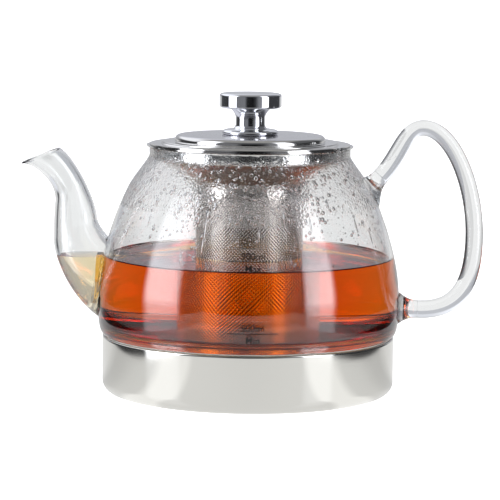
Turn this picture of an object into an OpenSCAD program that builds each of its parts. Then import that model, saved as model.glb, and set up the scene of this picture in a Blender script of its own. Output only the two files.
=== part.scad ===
// Glass teapot: a blown glass jug on a polished steel cup, with a lift-out infuser and a steel lid.
// Millimetres. The base stands on z = 0, the pot's axis is Z, the handle points to +X.

/* [Steel base] */
// Outer radius of the steel cup
base_r = 68.1; // [66:0.1:69]
// Height of the steel cup up to its ledge
base_h = 26.8; // [25:0.1:26.8]
// Radius of the cup's rounded bottom edge
base_edge_r = 5.5; // [3:0.5:6.5]
// Thickness of the cup's steel wall
base_wall = 0.9; // [0.6:0.1:1.2]
// Height of the cup's floor above the table
floor_z = 4.2; // [3.8:0.1:5]
// Thickness of the magnetic plate under the cup
plate_t = 0.8; // [0.5:0.1:1.2]

/* [Glass] */
// Outer radius of the neck
neck_r = 46.8; // [46.4:0.1:47]
// Height of the neck's rim
rim_z = 114.8; // [113.5:0.1:114.8]
// Largest radius of the belly
belly_r = 70.3; // [69.5:0.1:71]
// Wall thickness at the neck
wall_top = 1.8; // [1.4:0.1:2.2]
// Wall thickness at the foot
wall_foot = 3.0; // [2.4:0.1:3.4]
// Wall thickness of the spout
spout_wall = 1.7; // [1.2:0.1:2]
// Radius of the opening between the body and the spout
spout_hole_r = 11; // [8:0.5:13]
// Radius of the handle's rod at its lower end
handle_r = 4.2; // [3.6:0.1:4.6]
// Radius of the handle's rod over the top of its loop
handle_top_r = 3.7; // [3.2:0.1:4.2]

/* [Infuser] */
// Radius of the flange that lies on the glass rim
flange_r = 48.1; // [47.4:0.1:49]
// Outer radius of the collar that hangs in the neck
collar_r = 43.5; // [43.2:0.1:44]
// Outer radius of the perforated sleeve
sleeve_r = 25; // [22:0.5:27]
// Height of the infuser's underside above the table
sleeve_bottom_z = 22; // [16:0.5:26]
// Thickness of the infuser's sheet
infuser_t = 0.6; // [0.4:0.1:0.7]

/* [Lid] */
// Radius of the lid's brim
brim_r = 46.6; // [45.5:0.1:47]
// Radius of the lid's lower step
step_r = 41.1; // [40:0.1:41.5]
// Radius of the lid's raised top
top_r = 35; // [32:0.5:36]
// Height of the lid's top at its edge
top_z = 120.2; // [119.8:0.1:120.4]
// Thickness of the lid's sheet
lid_t = 0.6; // [0.4:0.1:0.6]

/* [Knob] */
// Radius of the knob's head
knob_r = 14.5; // [12:0.5:16]
// Radius of the knob's stem
stem_r = 6.95; // [5.5:0.05:8]
// Height of the top of the knob
knob_z = 139.9; // [139:0.1:141]
// Radius of the collar under the knob
knob_collar_r = 13.4; // [11:0.1:15]

/* [Fill marks] */
// Height of the upper fill line
max_mark_z = 68.8; // [64:0.1:70]
// Height of the lower fill line
min_mark_z = 37.1; // [34:0.1:40]
// Length of each fill line
mark_length = 23; // [15:1:30]

/* [Hidden] */

$fn = 96;
curve_steps = 12;
rest_gap = 0.1;

glass_colour = [0.86, 0.93, 0.93, 0.45];
steel_colour = [0.78, 0.78, 0.77];
chrome_colour = [0.88, 0.88, 0.9];
dark_steel_colour = [0.5, 0.5, 0.52];
aluminium_colour = [0.7, 0.71, 0.73];
silicone_colour = [0.9, 0.9, 0.88];
enamel_colour = [0.1, 0.1, 0.1];

// Glass body
seal_t = 0.6;
foot_z = base_h + seal_t;
foot_inner_r = 62;
foot_top_z = 31.2;
belly_z = 46;
shoulder = [56.8, 95.4];

// Spout: which stretch of the upper outline faces each stretch of the lower one
spout_rings = 26;
spout_sides = 32;
spout_hole_z = 54;

// Handle
handle_rings = 54;
handle_sides = 24;
handle_start = 0.13;
handle_end = 2.9;
weld_length = 11;
weld_r = 7.2;

// Infuser
flange_z = rim_z + rest_gap;
flange_top = flange_z + infuser_t;
collar_bottom_z = 108.4;
sleeve_top_z = 98.5;
sleeve_lip = 4;
sleeve_wall = 0.5;
infuser_bend = 1.2;

// Lid
brim_z = flange_top + rest_gap;
brim_top = brim_z + lid_t;
step_z = 117.2;
dome_rise = 0.3;
lid_edge_r = 2.2;
plug_r = 42.0;
plug_skirt_z = 109;
plug_disc_z = 115.2;
plug_boss_r = 12;
seal_r = 42.6;
seal_low_z = 110.2;
seal_high_z = 113.2;
bore_clearance = 0.05;

// Knob, its collar and its screw
screw_r = 2.1;
screw_hole_r = 2.5;
screw_head_r = 4.2;
screw_head_h = 2.4;
washer_r = 6;
washer_t = 0.8;
screw_top_z = 133;
knob_bore_z = 134;
knob_foot_z = 123;
knob_low_z = 132.8;
lid_centre_z = top_z + dome_rise;
plug_top_z = lid_centre_z - lid_t - bore_clearance;

// Fill marks
mark_t = 0.15;
mark_h = 0.4;
mark_azimuth = -88.3;

// ---- curves ----

function bezier(p, t) =
    pow(1 - t, 3) * p[0] + 3 * pow(1 - t, 2) * t * p[1] + 3 * (1 - t) * t * t * p[2] + pow(t, 3) * p[3];

function bezier_slope(p, t) =
    3 * pow(1 - t, 2) * (p[1] - p[0]) + 6 * (1 - t) * t * (p[2] - p[1]) + 3 * t * t * (p[3] - p[2]);

function unit(v) = v / norm(v);

// Position and direction at u along a chain of curves, where u runs from 0 to the number of curves
function chain_index(chain, u) = min(floor(u), len(chain) - 1);
function chain_at(chain, u) = let (i = chain_index(chain, u)) bezier(chain[i], u - i);
function chain_slope(chain, u) = let (i = chain_index(chain, u)) unit(bezier_slope(chain[i], u - i));

function curve(p, steps, first = 0) = [for (i = [first:steps]) bezier(p, i / steps)];

// Points of an arc round [r, z] centre c
function arc(c, radius, from, to, steps = 8) =
    [for (i = [0:steps]) let (a = from + (to - from) * i / steps) c + radius * [cos(a), sin(a)]];

function reversed(list) = [for (i = [len(list) - 1:-1:0]) list[i]];

// Closed outline of a sheet of thickness t that lies to the left of its path
function left_normal(a, b) = let (d = unit(b - a)) [-d[1], d[0]];
function corner_offset(path, i, t) =
    let (last = len(path) - 1)
    let (n0 = left_normal(path[max(i - 1, 0)], path[max(i, 1)]))
    let (n1 = left_normal(path[min(i, last - 1)], path[min(i + 1, last)]))
    path[i] + t * (n0 + n1) / (1 + n0 * n1);
function sheet(path, t) = concat(path, reversed([for (i = [0:len(path) - 1]) corner_offset(path, i, t)]));

// ---- glass body outline ----

neck_curve = [[neck_r, rim_z - 3.8], [neck_r, rim_z - 6], [54, 101.2], shoulder];
shoulder_curve = [shoulder, [62.9, 83.1], [belly_r, 61.2], [belly_r, belly_z]];
heel_curve = [[belly_r, belly_z], [belly_r, 38], [belly_r + 0.3, 29], [67.8, foot_z]];
outer_curve = concat(curve(neck_curve, curve_steps), curve(shoulder_curve, curve_steps, 1));
outer_chain = [neck_curve, shoulder_curve];

function wall_at(z) = wall_top + (wall_foot - wall_top) * pow((rim_z - z) / (rim_z - foot_z), 2);
function inner_point(u) =
    let (p = chain_at(outer_chain, u))
    let (d = chain_slope(outer_chain, u))
    p + wall_at(p[1]) * [d[1], -d[0]];
inner_curve = [for (i = [0:2 * curve_steps]) inner_point(i / curve_steps)];
inner_belly_r = belly_r - wall_at(belly_z);
inner_heel = [[inner_belly_r, belly_z], [inner_belly_r, 38], [66.4, 31.4], [foot_inner_r + 1.5, foot_top_z]];

body_outline = concat(
    arc([neck_r - wall_top / 2, rim_z - wall_top / 2], wall_top / 2, 180, 0),
    outer_curve,
    curve(heel_curve, curve_steps, 1),
    arc([foot_inner_r + 1.5, foot_z + 1.5], 1.5, 270, 180, 5),
    arc([foot_inner_r + 1.5, foot_top_z - 1.5], 1.5, 180, 90, 5),
    reversed(curve(inner_heel, curve_steps, 0)),
    reversed(inner_curve));

// The space that the glass body fills, as a solid of revolution
module body_envelope() {
    rotate_extrude()
        polygon(concat(
            [[0, foot_z], [0, rim_z], [neck_r, rim_z]],
            outer_curve,
            curve(heel_curve, curve_steps, 1)));
}

module glass_body() {
    color(glass_colour)
        difference() {
            rotate_extrude() polygon(body_outline);
            translate([-belly_r - 5, 0, spout_hole_z])
                rotate([0, 90, 0]) cylinder(r = spout_hole_r, h = 15);
        }
}

// ---- spout ----

spout_lower = [
    [[-63, 30.5], [-81, 37.5], [-90.9, 60], [-91.1, 70.2]],
    [[-91.1, 70.2], [-91.1, 74.2], [-91.1, 82.3], [-90.5, 87.9]],
    [[-90.5, 87.9], [-89.3, 97.6], [-101, 106.5], [-106.2, 105.6]]];
spout_upper = [
    [[-60, 66], [-64.9, 71.6], [-70.2, 75.4], [-70.9, 80.9]],
    [[-70.9, 80.9], [-72.1, 90.5], [-81.2, 108.3], [-88, 112.9]]];

function spout_upper_at(u) = chain_at(spout_upper, lookup(u, [[0, 0], [1, 0.72], [2, 1.3], [3, 2]]));
function spout_flatness(u) = lookup(u, [[0, 0.9], [1, 1], [2.4, 1], [3, 0.84]]);

// One ring of the spout, inset by w from its outer surface
function spout_ring(u, w) =
    let (low = chain_at(spout_lower, u), high = spout_upper_at(u))
    let (half = norm(high - low) / 2, across = unit(high - low), centre = (low + high) / 2)
    [for (k = [0:spout_sides - 1])
        let (a = 360 * k / spout_sides)
        let (p = centre + (half - w) * cos(a) * across)
        [p[0], (half * spout_flatness(u) - w) * sin(a), p[1]]];

function ring_faces(first, second, sides) =
    [for (k = [0:sides - 1]) [first + k, first + (k + 1) % sides, second + (k + 1) % sides, second + k]];

module spout_tube() {
    n = spout_sides;
    m = spout_rings;
    outer = [for (i = [0:m]) each spout_ring(3 * i / m, 0)];
    inner = [for (i = [0:m]) each spout_ring(3 * i / m, spout_wall)];
    skip = (m + 1) * n;
    polyhedron(
        concat(outer, inner),
        concat(
            [for (i = [0:m - 1]) each ring_faces((i + 1) * n, i * n, n)],
            [for (i = [0:m - 1]) each ring_faces(skip + i * n, skip + (i + 1) * n, n)],
            ring_faces(0, skip, n),
            ring_faces(skip + m * n, m * n, n)),
        convexity = 6);
}

module glass_spout() {
    color(glass_colour)
        difference() {
            spout_tube();
            body_envelope();
        }
}

// ---- handle ----

handle_path = [
    [[56.6, 97.4], [69.6, 107.7], [70.3, 124.3], [80.5, 124.3]],
    [[80.5, 124.3], [93.7, 124.3], [105, 98.4], [105, 74]],
    [[105, 74], [105, 49.8], [97.7, 35.7], [71.8, 40.2]]];

function rod_r(u) = lookup(u, [
    [0, handle_r - 0.1],
    [0.9, handle_top_r],
    [1.4, handle_top_r + 0.2],
    [2.2, handle_r],
    [3, handle_r]]);

function rod_ring(u) =
    let (c = chain_at(handle_path, u), d = chain_slope(handle_path, u))
    [for (k = [0:handle_sides - 1])
        let (a = 360 * k / handle_sides)
        [c[0] - d[1] * rod_r(u) * cos(a), rod_r(u) * sin(a), c[1] + d[0] * rod_r(u) * cos(a)]];

module glass_handle() {
    n = handle_sides;
    m = handle_rings;
    rings = [for (i = [0:m]) each rod_ring(handle_start + (handle_end - handle_start) * i / m)];
    color(glass_colour)
        polyhedron(
            rings,
            concat(
                [for (i = [0:m - 1]) each ring_faces(i * n, (i + 1) * n, n)],
                [[for (k = [n - 1:-1:0]) k]],
                [[for (k = [0:n - 1]) m * n + k]]),
            convexity = 4);
}

// A flared pad that joins the rod's end at u to the body, along the rod's direction
module handle_weld(u, towards_body) {
    c = chain_at(handle_path, u);
    d = chain_slope(handle_path, u) * towards_body;
    flare = [
        [rod_r(u), 0],
        [rod_r(u), weld_length * 0.45],
        [weld_r * 0.85, weld_length * 0.6],
        [weld_r * 1.25, weld_length]];
    color(glass_colour)
        difference() {
            translate([c[0], 0, c[1]])
                rotate([0, atan2(d[0], d[1]), 0])
                    rotate_extrude()
                        polygon(concat([[0, weld_length], [0, 0]], curve(flare, curve_steps)));
            body_envelope();
        }
}

module handle_weld_upper() {
    handle_weld(handle_start, -1);
}

module handle_weld_lower() {
    handle_weld(handle_end, 1);
}

// ---- steel base ----

recess_r = base_r - base_edge_r - 1.4;
recess_z = floor_z - base_wall;
ledge_lip_r = 64;
ledge_lip_z = 24;
inner_edge_r = 4;

module steel_base() {
    inner_r = base_r - base_wall;
    color(steel_colour)
        rotate_extrude()
            polygon(concat(
                [[0, recess_z], [recess_r, recess_z], [recess_r, 0]],
                arc([base_r - base_edge_r, base_edge_r], base_edge_r, -90, 0),
                arc([base_r - 0.8, base_h - 0.8], 0.8, 0, 90, 4),
                arc([ledge_lip_r + 0.8, base_h - 0.8], 0.8, 90, 180, 4),
                [[ledge_lip_r, ledge_lip_z], [ledge_lip_r + base_wall, ledge_lip_z]],
                [[ledge_lip_r + base_wall, base_h - base_wall], [inner_r, base_h - base_wall]],
                arc([inner_r - inner_edge_r, floor_z + inner_edge_r], inner_edge_r, 0, -90),
                [[0, floor_z]]));
}

module base_seal() {
    color(silicone_colour)
        rotate_extrude()
            translate([foot_inner_r + 2.6, base_h]) square([2.6, seal_t]);
}

module heat_spreader() {
    color(aluminium_colour)
        translate([0, 0, plate_t]) cylinder(r = recess_r - 0.6, h = recess_z - plate_t);
}

module induction_plate() {
    color(dark_steel_colour)
        cylinder(r = recess_r - 0.1, h = plate_t);
}

// ---- fill marks ----

// Outer radius of the glass at height z, found by halving the stretch of outline it must lie in
function outline_u(chain, z, low, high, steps) =
    steps == 0 ? (low + high) / 2 :
    let (mid = (low + high) / 2)
    chain_at(chain, mid)[1] > z
        ? outline_u(chain, z, mid, high, steps - 1)
        : outline_u(chain, z, low, mid, steps - 1);
mark_chain = [neck_curve, shoulder_curve, heel_curve];
function glass_r(z) = chain_at(mark_chain, outline_u(mark_chain, z, 0, 3, 20))[0];

module fill_line(z) {
    low = glass_r(z - mark_h / 2) + bore_clearance;
    high = glass_r(z + mark_h / 2) + bore_clearance;
    angle = mark_length / glass_r(z) * 180 / PI;
    rotate([0, 0, mark_azimuth - angle / 2])
        rotate_extrude(angle = angle)
            polygon([
                [low, z - mark_h / 2],
                [low + mark_t, z - mark_h / 2],
                [high + mark_t, z + mark_h / 2],
                [high, z + mark_h / 2]]);
}

module fill_marks() {
    color(enamel_colour) {
        fill_line(max_mark_z);
        fill_line(min_mark_z);
    }
}

// ---- infuser ----

module infuser_flange() {
    bend = infuser_bend;
    path = concat(
        [[flange_r, flange_z]],
        arc([collar_r + bend, flange_z - bend], bend, 90, 180, 5),
        [[collar_r, collar_bottom_z], [sleeve_r + 0.05 + infuser_t, sleeve_top_z]],
        [[sleeve_r + 0.05 + infuser_t, sleeve_top_z - sleeve_lip]]);
    color(chrome_colour)
        rotate_extrude() polygon(sheet(path, -infuser_t));
}

module infuser_sleeve() {
    color(dark_steel_colour)
        translate([0, 0, sleeve_bottom_z + 2])
            difference() {
                cylinder(r = sleeve_r, h = sleeve_top_z - sleeve_bottom_z - 2.5);
                translate([0, 0, -1])
                    cylinder(r = sleeve_r - sleeve_wall, h = sleeve_top_z - sleeve_bottom_z + 2);
            }
}

module infuser_bottom() {
    cup_r = sleeve_r - sleeve_wall - 0.05;
    path = concat(
        [[0, sleeve_bottom_z]],
        arc([cup_r - 1.5, sleeve_bottom_z + 1.5], 1.5, -90, 0, 5),
        [[cup_r, sleeve_bottom_z + 5]]);
    color(steel_colour)
        rotate_extrude() polygon(sheet(path, infuser_t));
}

// ---- lid ----

module lid_cover() {
    dome = [
        [top_r - lid_edge_r, top_z],
        [top_r * 0.65, top_z + dome_rise * 0.7],
        [top_r * 0.3, lid_centre_z],
        [screw_hole_r, lid_centre_z]];
    path = concat(
        [[brim_r, brim_top], [step_r + 0.6, brim_top]],
        arc([step_r - 0.5, step_z - 0.5], 0.5, 0, 90, 3),
        [[top_r + 0.7, step_z]],
        arc([top_r - lid_edge_r, top_z - lid_edge_r], lid_edge_r, 0, 90, 6),
        curve(dome, 6, 1));
    color(steel_colour)
        rotate_extrude() polygon(sheet(path, lid_t));
}

module lid_plug() {
    path = concat(
        [[screw_hole_r, plug_top_z], [plug_boss_r, plug_top_z], [plug_boss_r + 2, plug_disc_z]],
        arc([plug_r - 1, plug_disc_z - 1], 1, 90, 0, 4),
        [[plug_r, plug_skirt_z]]);
    color(steel_colour)
        rotate_extrude() polygon(sheet(path, -lid_t));
}

module lid_seal() {
    color(silicone_colour)
        rotate_extrude()
            translate([plug_r, seal_low_z]) square([seal_r - plug_r, seal_high_z - seal_low_z]);
}

// ---- knob ----

module knob() {
    bore_r = screw_r + bore_clearance;
    neck = [[stem_r, 128.4], [stem_r + 0.2, 130], [8.4, 131.6], [9.6, knob_low_z - 0.3]];
    head = [
        [11.6, knob_low_z - 0.25],
        [13.4, knob_low_z - 0.2],
        [knob_r, knob_low_z + 0.1],
        [knob_r, knob_low_z + 1]];
    crown = [[knob_r, knob_z - 1.7], [knob_r, knob_z - 0.6], [13.6, knob_z - 0.25], [12, knob_z - 0.2]];
    dome = [[12, knob_z - 0.2], [8, knob_z], [4, knob_z], [0, knob_z]];
    color(chrome_colour)
        rotate_extrude()
            polygon(concat(
                [[0, knob_bore_z], [bore_r, knob_bore_z], [bore_r, knob_foot_z], [stem_r + 0.9, knob_foot_z]],
                curve([[stem_r + 0.9, knob_foot_z], [stem_r + 0.6, 123.8], [stem_r, 124], [stem_r, 125]], 6, 1),
                curve(neck, 8),
                curve(head, 8),
                curve(crown, 8),
                curve(dome, 6, 1)));
}

module knob_collar() {
    r = knob_collar_r;
    low = lid_centre_z;
    high = knob_foot_z;
    color(chrome_colour)
        rotate_extrude()
            polygon(concat(
                [[screw_hole_r, low], [r - 0.8, low]],
                curve([[r - 0.8, low], [r, low + 0.3], [r, low + 1], [r - 0.3, low + 1.4]], 6, 1),
                curve([[r - 0.3, low + 1.4], [r - 0.9, low + 2.3], [r - 2.5, high], [r - 4, high]], 6, 1),
                [[screw_hole_r, high]]));
}

module knob_screw() {
    head_z = plug_top_z - lid_t - washer_t;
    color(dark_steel_colour) {
        difference() {
            translate([0, 0, head_z - screw_head_h]) cylinder(r = screw_head_r, h = screw_head_h);
            translate([0, 0, head_z - screw_head_h - 1]) cylinder(r = 2, h = 2.4, $fn = 6);
        }
        translate([0, 0, head_z]) cylinder(r = screw_r, h = screw_top_z - head_z);
    }
}

module screw_washer() {
    color(dark_steel_colour)
        translate([0, 0, plug_top_z - lid_t - washer_t])
            difference() {
                cylinder(r = washer_r, h = washer_t);
                translate([0, 0, -1]) cylinder(r = screw_hole_r, h = washer_t + 2);
            }
}

glass_body();
glass_spout();
glass_handle();
handle_weld_upper();
handle_weld_lower();
steel_base();
base_seal();
heat_spreader();
induction_plate();
fill_marks();
infuser_flange();
infuser_sleeve();
infuser_bottom();
lid_cover();
lid_plug();
lid_seal();
knob();
knob_collar();
knob_screw();
screw_washer();
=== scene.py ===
import math
import random

import bmesh
import bpy
from mathutils import Matrix, Quaternion, Vector


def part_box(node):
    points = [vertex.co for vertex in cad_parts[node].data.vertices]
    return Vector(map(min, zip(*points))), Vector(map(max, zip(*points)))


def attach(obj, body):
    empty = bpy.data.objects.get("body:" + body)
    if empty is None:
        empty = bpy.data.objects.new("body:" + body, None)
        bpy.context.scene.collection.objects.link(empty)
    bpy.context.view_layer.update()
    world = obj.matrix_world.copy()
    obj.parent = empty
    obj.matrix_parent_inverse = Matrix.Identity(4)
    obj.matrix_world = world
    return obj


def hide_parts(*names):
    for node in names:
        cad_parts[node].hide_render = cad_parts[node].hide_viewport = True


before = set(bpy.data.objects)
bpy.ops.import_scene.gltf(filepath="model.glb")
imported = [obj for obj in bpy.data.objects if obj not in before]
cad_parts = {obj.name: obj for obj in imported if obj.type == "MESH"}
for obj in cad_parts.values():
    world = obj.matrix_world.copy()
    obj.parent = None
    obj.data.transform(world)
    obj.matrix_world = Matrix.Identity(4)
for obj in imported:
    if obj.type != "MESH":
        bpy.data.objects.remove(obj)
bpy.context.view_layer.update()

MM = 0.001
SEED = 20

# ---- sizes, in millimetres, read from the frame ----


def node_box(name):
    """The lowest and highest corner of a CAD node's box."""
    low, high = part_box(name)
    return low / MM, high / MM


body_low, body_high = node_box("glass_body")
_, base_high = node_box("steel_base")
_, flange_high = node_box("infuser_flange")
sleeve_low, sleeve_high = node_box("infuser_sleeve")
bottom_low, bottom_high = node_box("infuser_bottom")
cover_low, cover_high = node_box("lid_cover")
knob_low, knob_high = node_box("knob")
collar_low, collar_high = node_box("knob_collar")
seal_low, seal_high = node_box("base_seal")

BELLY_R = body_high.x
RIM_Z = body_high.z
FOOT_Z = body_low.z
BASE_R = base_high.x
BASE_TOP = base_high.z
FLANGE_R = flange_high.x
SLEEVE_R = sleeve_high.x
BRIM_R = cover_high.x
LID_TOP = cover_high.z
KNOB_R = knob_high.x
KNOB_TOP = knob_high.z
KNOB_FOOT = knob_low.z

NECK_R = 46.8
WALL_TOP = 1.8
WALL_FOOT = 3.0
SPOUT_WALL = 1.7
SPOUT_HOLE_R = 11.0
SPOUT_HOLE_Z = 54.0
BELLY_Z = 46.0
FOOT_INNER_R = 62.0
FOOT_TOP = 31.2
FOOT_EDGE = 1.5
TEA_LEVEL = 63.2
TEA_OVERLAP = 0.3
FLOOR_Z = 4.2
WELD_OVERLAP = 0.3
BASE_SHEET = 0.9
BASE_INNER_EDGE = 4.0
LEDGE_R = 64.0
STEEL_SHEET = 0.6
MERGE = 1e-7

# ---- camera ----

EYE_DISTANCE = 1.22
EYE_HEIGHT = 0.210
AIM = Vector((0.0005, 0, 0.0663))
LENS = 189.4
ROLL = 0.65


def add_camera():
    data = bpy.data.cameras.new("camera")
    data.lens = LENS
    data.sensor_width = 36
    data.clip_end = 20
    camera = bpy.data.objects.new("camera", data)
    bpy.context.scene.collection.objects.link(camera)
    camera.location = (AIM.x, -EYE_DISTANCE, EYE_HEIGHT)
    look = (AIM - camera.location).to_track_quat("-Z", "Y")
    camera.rotation_mode = "QUATERNION"
    camera.rotation_quaternion = look @ Quaternion((0, 0, 1), math.radians(ROLL))
    bpy.context.scene.camera = camera


add_camera()

# ---- materials ----


def colour(code):
    """An sRGB hex colour as linear RGBA."""
    channels = [int(code[i:i + 2], 16) / 255 for i in (1, 3, 5)]
    return (*[c / 12.92 if c <= 0.04045 else ((c + 0.055) / 1.055) ** 2.4 for c in channels], 1)


def add(tree, kind, links=None, **settings):
    """Adds a node. links gives its inputs, each a value or another node's socket."""
    made = tree.nodes.new(kind)
    for name, value in settings.items():
        setattr(made, name, value)
    for name, value in (links or {}).items():
        if isinstance(value, bpy.types.NodeSocket):
            tree.links.new(value, made.inputs[name])
        else:
            made.inputs[name].default_value = value
    return made


def new_material(name):
    made = bpy.data.materials.new(name)
    made.use_nodes = True
    made.node_tree.nodes.clear()
    return made, made.node_tree


def pattern_point(tree, scale):
    """Object coordinates times scale, one factor for each axis, so that a pattern can be drawn out."""
    at = add(tree, "ShaderNodeTexCoord").outputs["Object"]
    return add(tree, "ShaderNodeMapping", {"Vector": at, "Scale": scale}).outputs[0]


def noise(tree, scale, per_mm, detail=2.0):
    """Noise whose grains are 1 / per_mm millimetres apart along each axis, times scale."""
    factor = tuple(s * per_mm / MM for s in scale)
    return add(tree, "ShaderNodeTexNoise", {
        "Vector": pattern_point(tree, factor), "Scale": 1.0, "Detail": detail})


def ranged(tree, value, low, high):
    """value, from 0 to 1, spread over low to high."""
    return add(tree, "ShaderNodeMapRange", {"Value": value, "To Min": low, "To Max": high}).outputs[0]


def output(tree, surface, volume=None):
    out = add(tree, "ShaderNodeOutputMaterial", {"Surface": surface})
    if volume:
        tree.links.new(volume, out.inputs["Volume"])


def clear_glass():
    """Borosilicate glass, blown and fire-polished: clear, with faint long ripples from the blowing."""
    made, tree = new_material("borosilicate_glass_blown")
    ripple = noise(tree, (1, 1, 0.25), 1 / 9, 1.0)
    bump = add(tree, "ShaderNodeBump", {"Height": ripple.outputs[0], "Strength": 0.05, "Distance": 0.4 * MM})
    shader = add(tree, "ShaderNodeBsdfPrincipled", {
        "Base Color": colour("#FDFEFE"), "Roughness": 0.0, "IOR": 1.473, "Transmission Weight": 1.0,
        "Normal": bump.outputs[0]})
    output(tree, shader.outputs[0])
    return made


def misted_glass():
    """The same glass where steam has settled inside: a film of drops too fine to model one by one."""
    made, tree = new_material("borosilicate_glass_misted")
    cells = add(tree, "ShaderNodeTexVoronoi", {
        "Vector": pattern_point(tree, (0.9 / MM,) * 3), "Scale": 1.0})
    patches = noise(tree, (1, 1, 0.6), 1 / 6, 3.0)
    height = add(tree, "ShaderNodeMath", {
        0: cells.outputs["Distance"], 1: patches.outputs[0]}, operation="MULTIPLY")
    bump = add(tree, "ShaderNodeBump", {"Height": height.outputs[0], "Strength": 0.65, "Distance": 0.4 * MM})
    shader = add(tree, "ShaderNodeBsdfPrincipled", {
        "Base Color": colour("#FBFCFC"), "Roughness": ranged(tree, patches.outputs[0], 0.0, 0.22),
        "IOR": 1.45, "Transmission Weight": 1.0, "Normal": bump.outputs[0]})
    output(tree, shader.outputs[0])
    return made


def water():
    """Water condensed in beads on the glass."""
    made, tree = new_material("water_condensed")
    wobble = noise(tree, (1, 1, 1), 1.0, 0.0)
    bump = add(tree, "ShaderNodeBump", {"Height": wobble.outputs[0], "Strength": 0.1, "Distance": 0.1 * MM})
    shader = add(tree, "ShaderNodeBsdfPrincipled", {
        "Base Color": colour("#FFFFFF"), "Roughness": 0.0, "IOR": 1.333, "Transmission Weight": 1.0,
        "Normal": bump.outputs[0]})
    output(tree, shader.outputs[0])
    return made


def tea(name, absorbed, density):
    """Black tea, strained: clear, and its colour deepens with the depth that light crosses."""
    made, tree = new_material(name)
    swirl = noise(tree, (1, 1, 0.5), 1 / 30, 1.0)
    bump = add(tree, "ShaderNodeBump", {"Height": swirl.outputs[0], "Strength": 0.04, "Distance": 0.5 * MM})
    shader = add(tree, "ShaderNodeBsdfPrincipled", {
        "Base Color": colour("#FFFFFF"), "Roughness": 0.0, "IOR": 1.333, "Transmission Weight": 1.0,
        "Normal": bump.outputs[0]})
    depth = add(tree, "ShaderNodeVolumeAbsorption", {"Color": absorbed, "Density": density})
    output(tree, shader.outputs[0], depth.outputs[0])
    return made


def metal(name, code, rough, grain, per_mm, bump_strength, depth_mm=0.02):
    """A metal whose roughness runs between the two values of rough along a grain of that shape and pitch."""
    made, tree = new_material(name)
    marks = noise(tree, grain, per_mm, 3.0)
    smudge = noise(tree, (1, 1, 1), 1 / 22, 2.0)
    both = add(tree, "ShaderNodeMath", {0: marks.outputs[0], 1: smudge.outputs[0]}, operation="MULTIPLY")
    both = add(tree, "ShaderNodeMath", {0: both.outputs[0], 1: 2.0}, operation="MULTIPLY", use_clamp=True)
    bump = add(tree, "ShaderNodeBump", {
        "Height": marks.outputs[0], "Strength": bump_strength, "Distance": depth_mm * MM})
    shader = add(tree, "ShaderNodeBsdfPrincipled", {
        "Base Color": colour(code), "Metallic": 1.0, "Roughness": ranged(tree, both.outputs[0], *rough),
        "Normal": bump.outputs[0]})
    output(tree, shader.outputs[0])
    return made


def turned_metal(name, code, rough, pitch_mm, bump_strength):
    """A metal disc faced on a lathe or polished on a wheel: rings about the axis, each pitch_mm wide."""
    made, tree = new_material(name)
    at = add(tree, "ShaderNodeTexCoord").outputs["Object"]
    rings = add(tree, "ShaderNodeTexWave", {
        "Vector": at, "Scale": 0.314 / (pitch_mm * MM), "Distortion": 3.0, "Detail": 2.0,
        "Detail Scale": 0.02}, wave_type="RINGS", rings_direction="Z")
    smudge = noise(tree, (1, 1, 1), 1 / 18, 2.0)
    both = add(tree, "ShaderNodeMath", {0: rings.outputs["Fac"], 1: smudge.outputs[0]}, operation="MULTIPLY")
    bump = add(tree, "ShaderNodeBump", {
        "Height": rings.outputs["Fac"], "Strength": bump_strength, "Distance": 0.01 * MM})
    shader = add(tree, "ShaderNodeBsdfPrincipled", {
        "Base Color": colour(code), "Metallic": 1.0, "Roughness": ranged(tree, both.outputs[0], *rough),
        "Normal": bump.outputs[0]})
    output(tree, shader.outputs[0])
    return made


def silicone():
    """Moulded translucent silicone: milky and matt, with a fine moulded skin."""
    made, tree = new_material("silicone_moulded")
    skin = noise(tree, (1, 1, 1), 3.0, 2.0)
    bump = add(tree, "ShaderNodeBump", {"Height": skin.outputs[0], "Strength": 0.15, "Distance": 0.02 * MM})
    shader = add(tree, "ShaderNodeBsdfPrincipled", {
        "Base Color": colour("#D9D9D4"), "Roughness": ranged(tree, skin.outputs[0], 0.45, 0.65), "IOR": 1.41,
        "Subsurface Weight": 0.3, "Subsurface Radius": (0.002, 0.002, 0.002), "Normal": bump.outputs[0]})
    output(tree, shader.outputs[0])
    return made


def enamel():
    """Ceramic ink fired on to glass: near black, slightly glossy, with pinholes."""
    made, tree = new_material("ceramic_ink_fired")
    holes = noise(tree, (1, 1, 1), 6.0, 2.0)
    mix = add(tree, "ShaderNodeMix", {
        "Factor": holes.outputs[0], "A": colour("#0D0B0A"), "B": colour("#1D1917")}, data_type="RGBA")
    shader = add(tree, "ShaderNodeBsdfPrincipled", {
        "Base Color": mix.outputs["Result"], "Roughness": ranged(tree, holes.outputs[0], 0.3, 0.5),
        "IOR": 1.5})
    output(tree, shader.outputs[0])
    return made


GLASS = clear_glass()
MIST = misted_glass()
WATER = water()
TEA = tea("black_tea_brewed", (0.963, 0.725, 0.0, 1), 78.0)
# No leaf reaches the spout, so that the tea in it stays pale
PALE_TEA = tea("black_tea_in_spout", (0.975, 0.74, 0.1, 1), 25.0)
# Brushing lines run round the cup: long about the axis, 0.25 mm apart up the wall
BASE_STEEL = metal("stainless_steel_satin_polished", "#D6D5D0", (0.05, 0.13), (0.02, 0.02, 1), 4.0, 0.05)
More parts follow.
